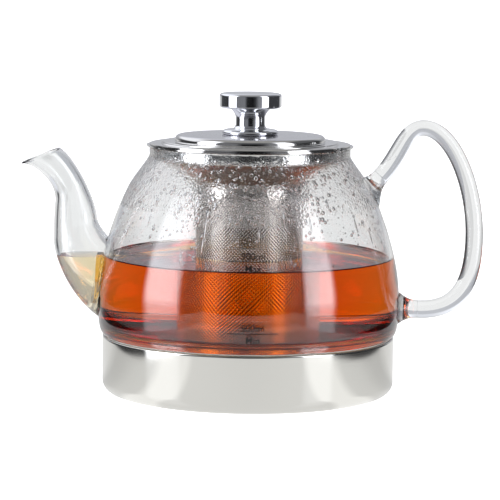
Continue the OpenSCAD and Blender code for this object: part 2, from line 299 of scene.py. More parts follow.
# The drawn collar of the infuser, left as it came from the press
DRAWN_STEEL = metal("stainless_steel_drawn", "#C2BDB9", (0.20, 0.38), (1, 1, 0.15), 2.0, 0.12)
POLISHED_STEEL = metal("stainless_steel_bright_polished", "#D8D7D5", (0.04, 0.14), (1, 1, 1), 1.5, 0.03)
LID_STEEL = turned_metal("stainless_steel_wheel_polished", "#CFCED2", (0.10, 0.24), 0.5, 0.08)
CHROME = metal("chrome_plate_mirror", "#E4E5E8", (0.015, 0.06), (1, 1, 1), 1.0, 0.02)
MESH_STEEL = metal("stainless_steel_etched", "#B5AFA9", (0.05, 0.14), (1, 1, 0.2), 2.0, 0.02)
# The part of the sleeve that stands in tea is made brighter and warmer than the bare steel above it, a
# painted highlight so that its highlights show through the tea; the real steel is the same all over, with no
# stain
HIGHLIGHT_STEEL = metal("stainless_steel_etched_painted_highlight", "#EEE3C0", (0.04, 0.10), (1, 1, 0.2), 2.0, 0.02)
PLATE_STEEL = turned_metal("ferritic_steel_ground", "#8C8C8E", (0.25, 0.45), 0.6, 0.3)
ALUMINIUM = metal("aluminium_rolled", "#B4B6BA", (0.3, 0.45), (0.03, 1, 1), 3.0, 0.1)
FASTENER = metal("stainless_steel_plain", "#9C9C9E", (0.25, 0.4), (1, 1, 1), 2.0, 0.1)
SILICONE = silicone()
ENAMEL = enamel()

# ---- shapes ----


def cubic(p0, p1, p2, p3, t):
    return (1 - t) ** 3 * p0 + 3 * (1 - t) ** 2 * t * p1 + 3 * (1 - t) * t * t * p2 + t ** 3 * p3


def bezier(points, steps, first=0):
    """Points along a cubic curve given by four (a, b) points, from step first on."""
    corners = [Vector(p) for p in points]
    return [tuple(cubic(*corners, i / steps)) for i in range(first, steps + 1)]


def bezier_at(points, t):
    """Place and direction at t, from 0 to 1, along a cubic curve."""
    p0, p1, p2, p3 = (Vector(p) for p in points)
    slope = 3 * (1 - t) ** 2 * (p1 - p0) + 6 * (1 - t) * t * (p2 - p1) + 3 * t * t * (p3 - p2)
    return cubic(p0, p1, p2, p3, t), slope.normalized()


def chain_at(chain, u):
    """Place and direction at u along joined curves, where u runs from 0 to their number."""
    i = min(int(u), len(chain) - 1)
    return bezier_at(chain[i], u - i)


def arc(centre, radius, start, end, steps=8):
    """Points round an arc, from start to end in degrees."""
    angles = [math.radians(start + (end - start) * i / steps) for i in range(steps + 1)]
    return [(centre[0] + radius * math.cos(a), centre[1] + radius * math.sin(a)) for a in angles]


def between(x, table):
    """The value at x in a table of (x, value) rows, straight between rows."""
    for (x0, v0), (x1, v1) in zip(table, table[1:]):
        if x <= x1:
            return v0 + (v1 - v0) * (x - x0) / (x1 - x0)
    return table[-1][1]


def sheet_outline(path, thickness):
    """The closed outline of a sheet that lies to the left of its path."""
    points = [Vector(p) for p in path]
    normals = [Vector((a.y - b.y, b.x - a.x)).normalized() for a, b in zip(points, points[1:])]
    back = []
    for i, p in enumerate(points):
        n0 = normals[max(i - 1, 0)]
        n1 = normals[min(i, len(normals) - 1)]
        back.append(tuple(p + thickness * (n0 + n1) / (1 + n0.dot(n1))))
    return list(path) + back[::-1]


def finish_mesh(bm, name, material, smooth_angle=35):
    """Turns a bmesh into an object at the origin, smooth but for edges sharper than smooth_angle."""
    mesh = bpy.data.meshes.new(name)
    bm.to_mesh(mesh)
    bm.free()
    mesh.shade_smooth()
    mesh.set_sharp_from_angle(angle=math.radians(smooth_angle))
    piece = bpy.data.objects.new(name, mesh)
    bpy.context.scene.collection.objects.link(piece)
    mesh.materials.append(material)
    return piece


HOLD = 0.3
LONG_RUN = 4.2


def held(outline):
    """The outline with a point near each end of its long straight runs, which keeps them shading flat."""
    made = [outline[0]]
    for before, after in zip(outline, outline[1:]):
        a, b = Vector(before), Vector(after)
        run = (b - a).length
        if run > LONG_RUN:
            made += [tuple(a.lerp(b, HOLD / run)), tuple(b.lerp(a, HOLD / run))]
        made.append(after)
    return made


def lathe_bmesh(outline, steps=160):
    """A solid of revolution. An outline that starts on the axis ends on it, and any other is closed."""
    bm = bmesh.new()
    on_axis = outline[0][0] < 1e-6
    points = held(outline) if on_axis else held(outline + outline[:1])[:-1]
    ring = [bm.verts.new((r * MM, 0, z * MM)) for r, z in points]
    pairs = list(zip(ring, ring[1:]))
    if not on_axis:
        pairs.append((ring[-1], ring[0]))
    edges = [bm.edges.new(pair) for pair in pairs]
    bmesh.ops.spin(bm, geom=ring + edges, cent=(0, 0, 0), axis=(0, 0, 1), angle=math.tau, steps=steps,
                   use_merge=True)
    bmesh.ops.remove_doubles(bm, verts=bm.verts, dist=MERGE)
    bmesh.ops.recalc_face_normals(bm, faces=bm.faces)
    return bm


def lathe(name, outline, material, steps=160, smooth_angle=35):
    return finish_mesh(lathe_bmesh(outline, steps), name, material, smooth_angle)


def loft_bmesh(rings, sides, closed=False):
    """A skin through rings, each a matrix that carries the unit circle to its place, with capped ends.

    When closed, the last ring is joined to the first instead."""
    bm = bmesh.new()
    bmesh.ops.create_circle(bm, cap_ends=False, radius=1, segments=sides, matrix=rings[0])
    edges = bm.edges[:]
    if not closed:
        bmesh.ops.contextual_create(bm, geom=edges)
    for before, after in zip(rings, rings[1:] + (rings[:1] if closed else [])):
        made = bmesh.ops.extrude_edge_only(bm, edges=edges)["geom"]
        verts = [g for g in made if isinstance(g, bmesh.types.BMVert)]
        fresh = set(verts)
        edges = [g for g in made if isinstance(g, bmesh.types.BMEdge) and set(g.verts) <= fresh]
        bmesh.ops.transform(bm, matrix=after @ before.inverted(), verts=verts)
    if not closed:
        bmesh.ops.contextual_create(bm, geom=edges)
    bmesh.ops.remove_doubles(bm, verts=bm.verts, dist=MERGE)
    bmesh.ops.recalc_face_normals(bm, faces=bm.faces)
    return bm


def axes_matrix(axes, centre):
    """Carries X, Y and Z to three axes and the origin to centre, all in millimetres."""
    made = Matrix([axis * MM for axis in axes]).transposed().to_4x4()
    made.translation = centre * MM
    return made


def ring_matrix(centre, across, half_across, half_side):
    """Carries the unit circle to an ellipse in the plane of across and Y. Points are (x, z)."""
    a = Vector((across[0], 0, across[1])).normalized()
    side = Vector((0, 1, 0))
    axes = (a * half_across, side * half_side, a.cross(side))
    return axes_matrix(axes, Vector((centre[0], 0, centre[1])))


def apply_modifiers(piece):
    """Bakes a piece's modifiers into its mesh."""
    graph = bpy.context.evaluated_depsgraph_get()
    mesh = bpy.data.meshes.new_from_object(piece.evaluated_get(graph))
    piece.modifiers.clear()
    piece.data = mesh
    return piece


def combine(piece, tool, operation="DIFFERENCE"):
    """Cuts the tool from the piece, or joins it on, and removes the tool."""
    cut = piece.modifiers.new("cut", "BOOLEAN")
    cut.object = tool
    cut.operation = operation
    cut.solver = "EXACT"
    apply_modifiers(piece)
    bpy.data.objects.remove(tool)
    return piece


def place(piece, body, slot_name, *nodes):
    """Ties a finished piece to its body and hides the CAD nodes that it stands for. slot_name, its finish, is
    not used.
    """
    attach(piece, body)
    if nodes:
        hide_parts(*nodes)
    return piece


def refinish(piece, material, chosen):
    """Gives a second finish to the faces that chosen picks by their middle, in millimetres, and normal."""
    piece.data.materials.append(material)
    for face in piece.data.polygons:
        if chosen(face.center / MM, face.normal):
            face.material_index = 1


# ---- glass body ----

CURVE_STEPS = 22
SHOULDER = (56.8, 95.4)
NECK_CURVE = [(NECK_R, RIM_Z - 3.8), (NECK_R, RIM_Z - 6), (54, 101.2), SHOULDER]
SHOULDER_CURVE = [SHOULDER, (62.9, 83.1), (BELLY_R, 61.2), (BELLY_R, BELLY_Z)]
HEEL_CURVE = [(BELLY_R, BELLY_Z), (BELLY_R, 38), (BELLY_R + 0.3, 29), (67.8, FOOT_Z)]
OUTER_CHAIN = [NECK_CURVE, SHOULDER_CURVE]


def wall_at(z):
    """The glass's thickness at height z: thin at the rim, thick at the foot."""
    return WALL_TOP + (WALL_FOOT - WALL_TOP) * ((RIM_Z - z) / (RIM_Z - FOOT_Z)) ** 2


def inner_point(u, inset=0.0):
    """A point of the glass's inner face, or inset millimetres inside it."""
    p, d = chain_at(OUTER_CHAIN, u)
    return tuple(p + (wall_at(p.y) + inset) * Vector((d.y, -d.x)))


def outer_outline(inset=0.0):
    """The glass's outer face from the neck down to the foot, moved in by inset."""
    made = [(NECK_R - inset, RIM_Z)]
    for chain, first in ((NECK_CURVE, 0), (SHOULDER_CURVE, 1), (HEEL_CURVE, 1)):
        for i in range(first, CURVE_STEPS + 1):
            p, d = bezier_at(chain, i / CURVE_STEPS)
            made.append(tuple(p + inset * Vector((d.y, -d.x))))
    return made


def inner_heel(inset=0.0):
    """The curve of the inner face from the belly down to the foot ring, moved in by inset."""
    r = BELLY_R - wall_at(BELLY_Z) - inset
    return [(r, BELLY_Z), (r, 38), (66.4 - inset, 31.4), (FOOT_INNER_R + FOOT_EDGE - inset, FOOT_TOP + inset)]


def radius_at(outline, z):
    """The radius of a falling outline at height z."""
    for (r0, z0), (r1, z1) in zip(outline, outline[1:]):
        if z0 >= z >= z1 and z0 > z1:
            return r0 + (r1 - r0) * (z0 - z) / (z0 - z1)
    return outline[-1][0]


OUTER = outer_outline()
INNER_FACE = [inner_point(i / CURVE_STEPS) for i in range(2 * CURVE_STEPS + 1)]


def envelope(inset):
    """The space that the glass body fills, moved in by inset, as a cutter."""
    outline = [(0, RIM_Z)] + outer_outline(inset) + [(0, FOOT_Z)]
    return lathe("envelope", outline, GLASS)


def cylinder(name, radius, low_x, high_x, z, material):
    """A cylinder that lies along X at height z."""
    bm = bmesh.new()
    middle = Matrix.Translation(((low_x + high_x) / 2 * MM, 0, z * MM))
    bmesh.ops.create_cone(bm, cap_ends=True, segments=96, radius1=radius * MM, radius2=radius * MM,
                          depth=(high_x - low_x) * MM, matrix=middle @ Matrix.Rotation(math.pi / 2, 4, "Y"))
    return finish_mesh(bm, name, material)


def make_glass_body():
    lip = arc((NECK_R - WALL_TOP / 2, RIM_Z - WALL_TOP / 2), WALL_TOP / 2, 180, 0, 10)
    heel = bezier(HEEL_CURVE, CURVE_STEPS, 1)
    foot = arc((FOOT_INNER_R + FOOT_EDGE, FOOT_Z + FOOT_EDGE), FOOT_EDGE, 270, 180, 6)
    foot += arc((FOOT_INNER_R + FOOT_EDGE, FOOT_TOP - FOOT_EDGE), FOOT_EDGE, 180, 90, 6)
    outline = lip + OUTER[1:2 * CURVE_STEPS + 2] + heel + foot
    outline += bezier(inner_heel(), CURVE_STEPS)[::-1][1:] + INNER_FACE[::-1][1:]
    piece = lathe("glass_body_blown", outline, GLASS, 192)
    hole = cylinder("spout_hole", SPOUT_HOLE_R, -BELLY_R - 5, -BELLY_R + 10, SPOUT_HOLE_Z, GLASS)
    combine(piece, hole)
    refinish(piece, MIST, is_misted)
    return place(piece, "pot", "clear_glass", "glass_body")


MIST_LOW = 88.0
MIST_FRONT_LOW = 82.0
MIST_FRONT_HALF = 24


def is_misted(middle, normal):
    """True for the inner face of the shoulder and neck, and lower down at the front."""
    low = MIST_FRONT_LOW if middle.y < 0 and abs(middle.x) < MIST_FRONT_HALF else MIST_LOW
    facing_in = normal.x * middle.x + normal.y * middle.y < 0
    return facing_in and low < middle.z < RIM_Z - 1


# ---- spout ----

SPOUT_LOWER = [
    [(-63, 30.5), (-81, 37.5), (-90.9, 60), (-91.1, 70.2)],
    [(-91.1, 70.2), (-91.1, 74.2), (-91.1, 82.3), (-90.5, 87.9)],
    [(-90.5, 87.9), (-89.3, 97.6), (-101, 106.5), (-106.2, 105.6)]]
SPOUT_UPPER = [
    [(-60, 66), (-64.9, 71.6), (-70.2, 75.4), (-70.9, 80.9)],
    [(-70.9, 80.9), (-72.1, 90.5), (-81.2, 108.3), (-88, 112.9)]]
SPOUT_RINGS = 60
SPOUT_SIDES = 72


def spout_ring(u, inset, forward=0.0):
    """The spout's section at u from 0, in the body, to 3, at the mouth."""
    low = chain_at(SPOUT_LOWER, u)[0]
    high = chain_at(SPOUT_UPPER, between(u, [(0, 0), (1, 0.72), (2, 1.3), (3, 2)]))[0]
    half = (high - low).length / 2
    flat = between(u, [(0, 0.9), (1, 1), (2.4, 1), (3, 0.84)])
    across = (high - low).normalized()
    along = Vector((-across.y, across.x))
    centre = (low + high) / 2 + forward * along
    return ring_matrix(centre, across, half - inset, half * flat - inset)


def make_spout():
    steps = [3 * i / SPOUT_RINGS for i in range(SPOUT_RINGS + 1)]
    rings = [spout_ring(u, 0) for u in steps]
    half = SPOUT_WALL / 2
    for i in range(1, 8):
        a = math.pi * i / 8
        rings.append(spout_ring(3, half - half * math.cos(a), half * math.sin(a) * 0.8))
    rings += [spout_ring(u, SPOUT_WALL) for u in steps[::-1]]
    piece = finish_mesh(loft_bmesh(rings, SPOUT_SIDES, closed=True), "glass_spout_blown", GLASS)
    combine(piece, envelope(WELD_OVERLAP))
    return place(piece, "pot", "clear_glass", "glass_spout")


# ---- handle ----

HANDLE_PATH = [
    [(56.6, 97.4), (69.6, 107.7), (70.3, 124.3), (80.5, 124.3)],
    [(80.5, 124.3), (93.7, 124.3), (105, 98.4), (105, 74)],
    [(105, 74), (105, 49.8), (97.7, 35.7), (71.8, 40.2)]]
ROD = [(0, 4.1), (0.9, 3.7), (1.4, 3.9), (2.2, 4.2), (3, 4.2)]
HANDLE_START = 0.13
HANDLE_END = 2.9
HANDLE_RINGS = 110
WELD_LENGTH = 11
WELD_R = 7.2


def rod_ring(u, radius=None, shift=0.0):
    """A round section of the rod, across its path at u, moved along the path by shift."""
    centre, along = chain_at(HANDLE_PATH, u)
    r = radius or between(u, ROD)
    return ring_matrix(centre + shift * along, (-along.y, along.x), r, r)


def make_handle():
    steps = [HANDLE_START + (HANDLE_END - HANDLE_START) * i / HANDLE_RINGS for i in range(HANDLE_RINGS + 1)]
    rings = [rod_ring(HANDLE_START, shift=-WELD_OVERLAP)] + [rod_ring(u) for u in steps]
    rings.append(rod_ring(HANDLE_END, shift=WELD_OVERLAP))
    piece = finish_mesh(loft_bmesh(rings, 40), "glass_handle_bent_rod", GLASS)
    return place(piece, "pot", "clear_glass", "glass_handle")


def make_weld(name, node, u, towards_body):
    """The flared pad of fused glass between the rod's end and the body."""
    r = between(u, ROD)
    flare = [(r, 0), (r, WELD_LENGTH * 0.45), (WELD_R * 0.85, WELD_LENGTH * 0.6),
             (WELD_R * 1.25, WELD_LENGTH)]
    rings = [rod_ring(u, radius, distance * towards_body) for radius, distance in bezier(flare, 24)]
    piece = finish_mesh(loft_bmesh(rings, 40), name, GLASS)
    combine(piece, envelope(WELD_OVERLAP))
    return place(piece, "pot", "clear_glass", node)


# ---- steel base and its seal ----


def make_base():
    edge = 5.5
    bend = 0.8
    ledge_low = 24
    t = BASE_SHEET
    inner_r = BASE_R - t
    recess_r = BASE_R - edge - 1.4
    outline = [(0, FLOOR_Z - t), (recess_r, FLOOR_Z - t), (recess_r, 0)]
    outline += arc((BASE_R - edge, edge), edge, -90, 0, 16)
    outline += arc((BASE_R - bend, BASE_TOP - bend), bend, 0, 90, 6)
    outline += arc((LEDGE_R + bend, BASE_TOP - bend), bend, 90, 180, 6)
    outline += [(LEDGE_R, ledge_low), (LEDGE_R + t, ledge_low), (LEDGE_R + t, BASE_TOP - t)]
    outline += [(inner_r, BASE_TOP - t)]
    outline += arc((inner_r - BASE_INNER_EDGE, FLOOR_Z + BASE_INNER_EDGE), BASE_INNER_EDGE, 0, -90, 10)
    outline += [(0, FLOOR_Z)]
    piece = lathe("steel_base_drawn", outline, BASE_STEEL, 256)
    return place(piece, "pot", "base_steel", "steel_base")


def make_base_seal():
    r1 = seal_high.x
    r0 = r1 - 2.6
    z0, z1 = seal_low.z, seal_high.z
    bulge = 0.12
    outline = [(r0, z0), (r1 - bulge, z0)]
    outline += arc((r1 - bulge, (z0 + z1) / 2), (z1 - z0) / 2 * 0.98, -80, 80, 6)
    outline += [(r1 - bulge, z1), (r0, z1)]
    piece = lathe("base_seal_ring", [(min(r, r1), z) for r, z in outline], SILICONE, 192)
    return place(piece, "pot", "silicone", "base_seal")


# ---- infuser ----


DRAWN_BELOW = 108.8


def make_flange():
    t = STEEL_SHEET
    bend = 1.2
    collar_r = 43.5
    cone_r = SLEEVE_R + 0.05 + t
    path = [(FLANGE_R, flange_high.z - t)]
    path += arc((collar_r + bend, flange_high.z - t - bend), bend, 90, 180, 8)
    path += bezier([
        (collar_r, 109.6), (collar_r, 108.2), (collar_r - 1.2, 107.6), (collar_r - 2.4, 106.9)], 6)
    path += bezier([(cone_r + 2, 99.6), (cone_r + 0.6, 98.8), (cone_r, 98.2), (cone_r, 97)], 6)
    path += [(cone_r, sleeve_high.z - 3.5)]
    piece = lathe("infuser_flange_pressed", sheet_outline(path, -t), POLISHED_STEEL, 192)
    refinish(piece, DRAWN_STEEL, lambda middle, normal: middle.z < DRAWN_BELOW)
    return place(piece, "infuser", "polished_steel", "infuser_flange")


HOLE_CELL = 1.66
HOLE_FRAME = 0.22
PERFORATED_LOW = 26.0
PERFORATED_HIGH = 93.0
SLEEVE_WALL = 0.4
TINY = 1e-5


def is_diamond(face):
    """True for a square stood on its corner: its top is one vertex."""
    heights = sorted(v.co.z for v in face.verts)
    return heights[-1] - heights[-2] > TINY


def cut_diamonds(bm, low, high):
    """Turns each square cell between low and high into four halves of diamonds and opens every diamond."""
    cells = [f for f in bm.faces if all(low < v.co.z < high for v in f.verts)]
    inside = set(cells)
    shared = {edge for cell in cells for edge in cell.edges if inside.issuperset(edge.link_faces)}
    bmesh.ops.poke(bm, faces=cells)
    bmesh.ops.dissolve_edges(bm, edges=list(shared), use_verts=False)
    diamonds = [f for f in bm.faces
                if len(f.verts) == 4 and low < f.calc_center_median().z < high and is_diamond(f)]
    bmesh.ops.inset_individual(bm, faces=diamonds, thickness=HOLE_FRAME * MM, use_even_offset=True)
    bmesh.ops.delete(bm, geom=diamonds, context="FACES")


def make_sleeve():
    """A sleeve of diamond-set square holes, drawn about half as coarse again as the real 0.8 mm pitch."""
    rows = round((PERFORATED_HIGH - PERFORATED_LOW) / HOLE_CELL)
    columns = round(math.tau * SLEEVE_R / HOLE_CELL)
    heights = [sleeve_low.z, sleeve_low.z + 1]
    heights += [PERFORATED_LOW + (PERFORATED_HIGH - PERFORATED_LOW) * i / rows for i in range(rows + 1)]
    heights += [sleeve_high.z]
    bm = bmesh.new()
    line = [bm.verts.new((SLEEVE_R * MM, 0, z * MM)) for z in heights]
    edges = [bm.edges.new(pair) for pair in zip(line, line[1:])]
    bmesh.ops.spin(bm, geom=line + edges, cent=(0, 0, 0), axis=(0, 0, 1), angle=math.tau, steps=columns,
                   use_merge=True)
    bmesh.ops.recalc_face_normals(bm, faces=bm.faces)
    cut_diamonds(bm, PERFORATED_LOW * MM - TINY, PERFORATED_HIGH * MM + TINY)
    piece = finish_mesh(bm, "infuser_sleeve_perforated", MESH_STEEL, 60)
    thick = piece.modifiers.new("wall", "SOLIDIFY")
    thick.thickness = SLEEVE_WALL * MM
    thick.offset = -1
    apply_modifiers(piece)
    # Below the tea level the sleeve takes the brighter, warmer steel: a painted highlight, not a stain
    refinish(piece, HIGHLIGHT_STEEL, lambda middle, normal: middle.z < TEA_LEVEL)
    return place(piece, "infuser", "perforated_steel", "infuser_sleeve")


def make_infuser_bottom():
    edge = 1.5
    r = bottom_high.x
    path = [(0, bottom_low.z)]
    path += arc((r - edge, bottom_low.z + edge), edge, -90, 0, 8)
    path += [(r, bottom_high.z)]
    piece = lathe("infuser_bottom_cup", sheet_outline(path, STEEL_SHEET), MESH_STEEL, 128)
    return place(piece, "infuser", "perforated_steel", "infuser_bottom")


# ---- lid ----


def make_lid_cover():
    t = STEEL_SHEET
    top_r, top_edge = 35.0, 2.2
    step_r, step_z = 41.1, 117.2
    edge_z = LID_TOP - 0.3
    brim_top = cover_low.z + t
    path = [(BRIM_R, brim_top), (step_r + 0.6, brim_top)]
    path += arc((step_r - 0.5, step_z - 0.5), 0.5, 0, 90, 5)
    path += arc((top_r + 0.4, step_z + 0.4), 0.4, 270, 180, 4)
    path += arc((top_r - top_edge, edge_z - top_edge), top_edge, 0, 90, 12)
    path += bezier([(top_r - top_edge, edge_z), (22, edge_z + 0.2), (10, LID_TOP), (2.5, LID_TOP)], 8, 1)
    piece = lathe("lid_cover_pressed", sheet_outline(path, t), POLISHED_STEEL, 192)
    refinish(piece, LID_STEEL, lambda middle, normal: normal.z > 0.8 and middle.z > edge_z - 0.3)
    return place(piece, "lid", "lid_steel", "lid_cover")


def make_knob():
    foot, top, r = KNOB_FOOT, KNOB_TOP, KNOB_R
    stem = 6.95
    neck_z = 132.8
    bore = 2.15
    outline = [(0, 134), (bore, 134), (bore, foot), (stem + 0.9, foot)]
    outline += bezier([
        (stem + 0.9, foot), (stem + 0.6, foot + 0.8), (stem, foot + 1), (stem, foot + 2)], 8, 1)
    outline += bezier([(stem, 128.4), (stem + 0.2, 130), (8.4, 131.6), (9.6, neck_z - 0.3)], 10)
    outline += bezier([(11.6, neck_z - 0.25), (13.4, neck_z - 0.2), (r, neck_z + 0.1), (r, neck_z + 1)], 12)
    outline += bezier([(r, top - 1.7), (r, top - 0.6), (13.6, top - 0.25), (12, top - 0.2)], 12)
    outline += bezier([(12, top - 0.2), (8, top), (4, top), (0, top)], 10, 1)
    piece = lathe("knob_turned", outline, CHROME, 160, 50)
    return place(piece, "lid", "chrome", "knob")


def make_knob_collar():
    low, high, r = collar_low.z, collar_high.z, collar_high.x
    outline = [(2.5, low), (r - 0.8, low)]
    outline += bezier([(r - 0.8, low), (r, low + 0.3), (r, low + 1), (r - 0.3, low + 1.4)], 8, 1)
    outline += bezier([(r - 0.3, low + 1.4), (r - 0.9, low + 2.3), (r - 2.5, high), (r - 4, high)], 8, 1)
    outline += [(2.5, high)]
    piece = lathe("knob_collar_turned", outline, CHROME, 160)
    return place(piece, "lid", "chrome", "knob_collar")


# ---- fill marks ----

MARK_AZIMUTH = math.radians(-88.3)
MARK_LENGTH = 23.0
MARK_THICK = 0.1
MARKS = [(68.8, "900ml", "Max"), (37.1, "500ml", "Min")]
MARK_HEIGHT = 0.35
TEXT_SIZE = 4.3
TEXT_ABOVE = 2.25
TEXT_BELOW = 3.05
# How far the font's strokes are thickened
TEXT_BOLD = 0.05
# How far the ink stands off the glass
INK_LIFT = 0.06


def wrap_on_glass(mesh, z0):
    """Bends a flat print, in metres, on to the glass with its middle at height z0."""
    for v in mesh.vertices:
        z = z0 + v.co.y / MM
        r = radius_at(OUTER, z) + INK_LIFT + v.co.z / MM
        a = MARK_AZIMUTH + v.co.x / MM / r
        v.co = Vector((r * math.cos(a), r * math.sin(a), z)) * MM


def printed_text(words, z):
    """The mesh of words printed on the glass with their middle at height z."""
    font = bpy.data.curves.new(words, "FONT")
    font.body = words
    font.size = TEXT_SIZE * MM
    font.align_x = "CENTER"
    font.align_y = "CENTER"
    font.extrude = MARK_THICK / 2 * MM
    font.offset = TEXT_BOLD * MM
    flat = bpy.data.objects.new(words, font)
    bpy.context.scene.collection.objects.link(flat)
    graph = bpy.context.evaluated_depsgraph_get()
    mesh = bpy.data.meshes.new_from_object(flat.evaluated_get(graph))
    bpy.data.objects.remove(flat)
    wrap_on_glass(mesh, z)
    return mesh


def printed_line(z):
    """The mesh of a level line printed on the glass at height z."""
    bm = bmesh.new()
    bmesh.ops.create_grid(bm, x_segments=24, y_segments=1, size=0.5)
    bmesh.ops.scale(bm, vec=(MARK_LENGTH * MM, MARK_HEIGHT * MM, 1), verts=bm.verts)
    bmesh.ops.solidify(bm, geom=bm.faces[:], thickness=MARK_THICK * MM)
    mesh = bpy.data.meshes.new("line")
    bm.to_mesh(mesh)
    bm.free()
    wrap_on_glass(mesh, z)
    return mesh


def make_fill_marks():
    bm = bmesh.new()
    for z, volume, word in MARKS:
        bm.from_mesh(printed_line(z))
        bm.from_mesh(printed_text(volume, z + TEXT_ABOVE))
        bm.from_mesh(printed_text(word, z - TEXT_BELOW))
    bmesh.ops.recalc_face_normals(bm, faces=bm.faces)
    piece = finish_mesh(bm, "fill_marks_printed", ENAMEL)
    return place(piece, "pot", "fired_enamel", "fill_marks")


# ---- tea and condensation ----

# How the surface climbs the glass: distance from the wall and height over the level
MENISCUS = [(-0.1, 0.9), (-0.5, 0.4), (-1.4, 0.06), (-3, 0)]


def make_tea():
    """The tea in the body and the cup. Its skin lies just inside the walls, so that no air shows between."""
    edge = BASE_INNER_EDGE
    inner_r = BASE_R - BASE_SHEET + TEA_OVERLAP
    ledge_r = LEDGE_R + TEA_OVERLAP
    foot_r = FOOT_INNER_R + TEA_OVERLAP
    low = FLOOR_Z - TEA_OVERLAP
    outline = [(0, low)]
    outline += arc((inner_r - edge, low + edge), edge, -90, 0, 8)
    outline += [(inner_r, 23.5), (ledge_r, 23.8), (ledge_r, 26.5), (foot_r, 27.4), (foot_r, FOOT_TOP - 0.6)]
    outline += bezier(inner_heel(-TEA_OVERLAP), 16)[::-1]
    rising = [inner_point(i / CURVE_STEPS, -TEA_OVERLAP) for i in range(2 * CURVE_STEPS - 1, -1, -1)]
    outline += [(r, z) for r, z in rising if z < TEA_LEVEL + 0.8]
    r_level = radius_at(rising[::-1], TEA_LEVEL)
    outline += [(r_level + r, TEA_LEVEL + z) for r, z in MENISCUS] + [(0, TEA_LEVEL)]
    piece = lathe("tea_in_body", outline, TEA, 192)
    passage_r = SPOUT_HOLE_R + TEA_OVERLAP
    passage = cylinder("tea_in_hole", passage_r, -BELLY_R - 0.6, -BELLY_R + 8, SPOUT_HOLE_Z, TEA)
    above = cylinder("above_tea", 30, -BELLY_R - 20, -BELLY_R + 20, TEA_LEVEL + 30, TEA)
    combine(passage, above)
    combine(piece, passage, "UNION")
    piece.data.materials.clear()
    piece.data.materials.append(TEA)
    return place(piece, "pot", "clear_glass")


def make_spout_tea():
    """The tea in the spout, which stands at the same level."""
    steps = [2.2 * i / 40 for i in range(41)]
    bm = loft_bmesh([spout_ring(u, SPOUT_WALL - TEA_OVERLAP) for u in steps], SPOUT_SIDES)
    level = (TEA_LEVEL + 0.2) * MM
    bmesh.ops.bisect_plane(bm, geom=bm.verts[:] + bm.edges[:] + bm.faces[:], plane_co=(0, 0, level),
                           plane_no=(0, 0, 1), clear_outer=True)
    bmesh.ops.holes_fill(bm, edges=[e for e in bm.edges if e.is_boundary], sides=0)
    bmesh.ops.recalc_face_normals(bm, faces=bm.faces)
    piece = finish_mesh(bm, "tea_in_spout", PALE_TEA)
    combine(piece, envelope(TEA_OVERLAP))
    piece.data.materials.clear()
    piece.data.materials.append(PALE_TEA)
    return place(piece, "pot", "clear_glass")


# Height from and to, half the spread in degrees about the front, number of drops, and their least and
# greatest radius
FINE_DROPS = [
    (96, 111.5, 180, 2600, 0.12, 0.32), (88, 96, 180, 1500, 0.12, 0.3), (64.5, 88, 180, 1200, 0.12, 0.28)]
LARGE_DROPS = [
    (100, 111, 180, 330, 0.4, 0.9), (90, 100, 180, 260, 0.35, 0.9), (78, 90, 180, 150, 0.35, 0.8),
    (65, 78, 180, 80, 0.3, 0.7), (84, 110, 36, 300, 0.4, 1.0), (66, 86, 30, 110, 0.35, 0.85)]
# Azimuth, height, radius and length of the runs, where drops have met and slid
RUNS = [
    (-18, 88.5, 1.2, 2.2), (-18.5, 82, 0.55, 9), (-19, 74, 0.5, 7), (-8, 86, 0.5, 5), (4, 80, 0.45, 6),
    (15, 88, 0.6, 5), (27, 84, 0.5, 7), (-33, 90, 0.5, 6), (38, 92, 0.5, 6), (-48, 84, 0.45, 7),
    (52, 82, 0.45, 8), (61, 76, 0.4, 8), (-62, 78, 0.4, 7), (10, 73, 0.4, 5), (22, 76, 0.45, 4)]


def bead_at(bead, face, a, z, size, stretch):
    """A copy of the bead on the glass's inner face, drawn out down the wall by stretch."""
    r = radius_at(face, z)
    slope = radius_at(face, z + 0.5) - radius_at(face, z - 0.5)
    inward = Vector((-math.cos(a), -math.sin(a), slope)).normalized()
    down = Vector((0, 0, -1))
    along = (down - inward * down.dot(inward)).normalized()
    centre = Vector((r * math.cos(a), r * math.sin(a), z)) + inward * 0.06
    axes = (inward.cross(along) * size, along * size * stretch, inward * size * 0.8)
    copy = bead.copy()
    copy.transform(axes_matrix(axes, centre))
    return copy


def over_marks(azimuth, z):
    """True behind the upper mark, where the glass stays clear enough to read it."""
    return abs(azimuth - 90 - math.degrees(MARK_AZIMUTH)) < 11 and z < 75


def make_drops(name, bands, runs, sides, seed):
    """Beads of water, each a dome of that many sides, on the glass's inner face."""
    chance = random.Random(seed)
    template = bmesh.new()
    bmesh.ops.create_uvsphere(template, u_segments=sides, v_segments=sides - 2, radius=1)
    bmesh.ops.bisect_plane(template, geom=template.verts[:] + template.edges[:] + template.faces[:],
                           plane_co=(0, 0, -0.05), plane_no=(0, 0, -1), clear_outer=True)
    bmesh.ops.holes_fill(template, edges=[e for e in template.edges if e.is_boundary], sides=0)
    bead = bpy.data.meshes.new("bead")
    template.to_mesh(bead)
    template.free()
    bm = bmesh.new()
    face = [inner_point(i / 100) for i in range(201)]
    for low, high, spread, number, small, large in bands:
        for _ in range(number):
            z = chance.uniform(low, high)
            azimuth = chance.uniform(-spread, spread)
            size = small + (large - small) * chance.random() ** 2
            stretch = chance.uniform(0.85, 1.5)
            if not over_marks(azimuth, z):
                bm.from_mesh(bead_at(bead, face, math.radians(azimuth - 90), z, size, stretch))
    for azimuth, z, size, length in runs:
        bm.from_mesh(bead_at(bead, face, math.radians(azimuth - 90), z, size, length))
    piece = finish_mesh(bm, name, WATER, 80)
    return place(piece, "pot", "clear_glass")


# ---- stage and light ----

TABLE_FRONT = 0.30
TABLE_SIDE = 0.192
